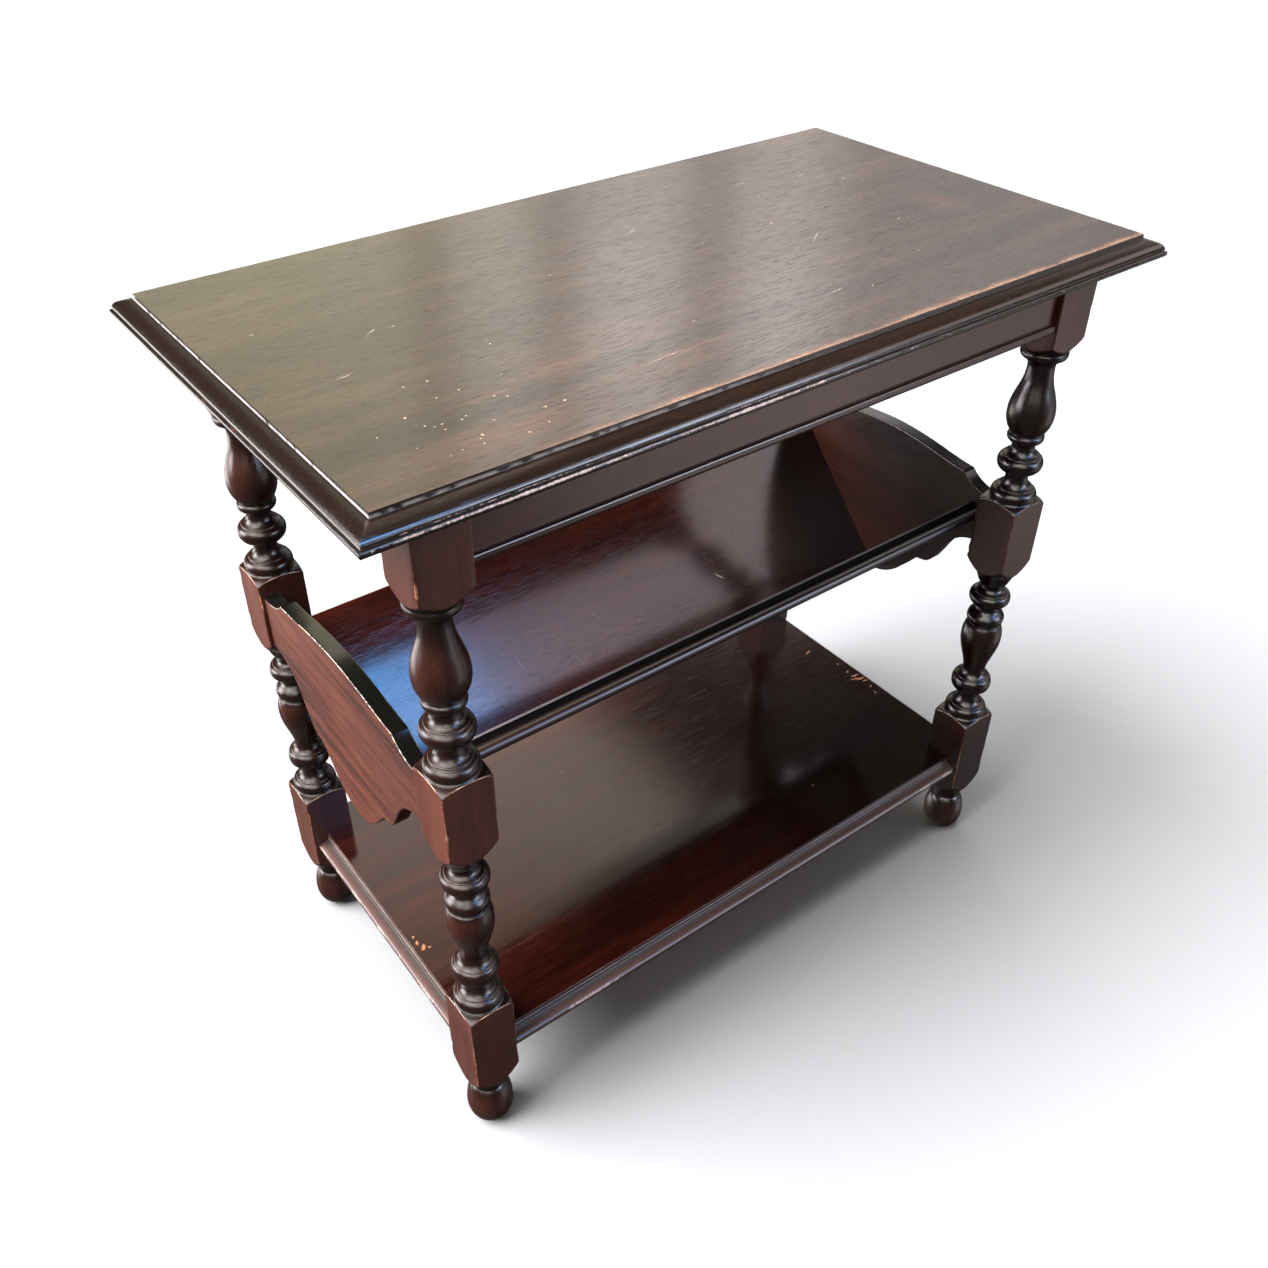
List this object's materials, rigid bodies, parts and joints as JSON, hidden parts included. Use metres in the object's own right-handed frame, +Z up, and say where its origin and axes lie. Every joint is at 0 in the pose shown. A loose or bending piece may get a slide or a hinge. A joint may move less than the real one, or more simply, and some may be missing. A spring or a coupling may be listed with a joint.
{
  "type": "magazine table with rack",
  "caption": "Dark stained wooden occasional table with a moulded rectangular top, turned legs on ball feet, a V-shaped magazine trough between shaped end boards, and a lower shelf.",
  "frame": {"origin": "on the floor, under the middle of the top", "axes": "+X along the length of the top, -Y towards the front, the side of the moulded trough edge, +Z up"},
  "size_m": [0.6526, 0.3664, 0.6075],
  "materials": {
    "top_wood": "worn satin gloss, dark red-brown stain",
    "leg_wood": "worn gloss, dark red-brown stain",
    "apron_wood": "worn gloss, dark red-brown stain",
    "rack_wood": "satin, dark red-brown stain",
    "shelf_wood": "worn satin gloss, dark red-brown stain",
    "dowel_wood": "bare",
    "block_wood": "bare",
    "screw_steel": "dull"
  },
  "bodies": {
    "root": {"tabletop": "top_wood", "leg_front_left": "leg_wood", "leg_front_right": "leg_wood", "leg_back_left": "leg_wood", "leg_back_right": "leg_wood", "apron_front": "apron_wood", "apron_back": "apron_wood", "apron_left": "apron_wood", "apron_right": "apron_wood", "apron_bead_front": "apron_wood", "apron_bead_back": "apron_wood", "apron_bead_left": "apron_wood", "apron_bead_right": "apron_wood", "rack_end_left": "rack_wood", "rack_end_right": "rack_wood", "trough_front_board": "rack_wood", "trough_back_board": "rack_wood", "lower_shelf": "shelf_wood", "apron_dowels": "dowel_wood", "rack_end_dowels": "dowel_wood", "trough_dowels": "dowel_wood", "shelf_dowels": "dowel_wood", "top_glue_blocks": "block_wood", "top_screws": "screw_steel"}
  },
  "joints": []
}
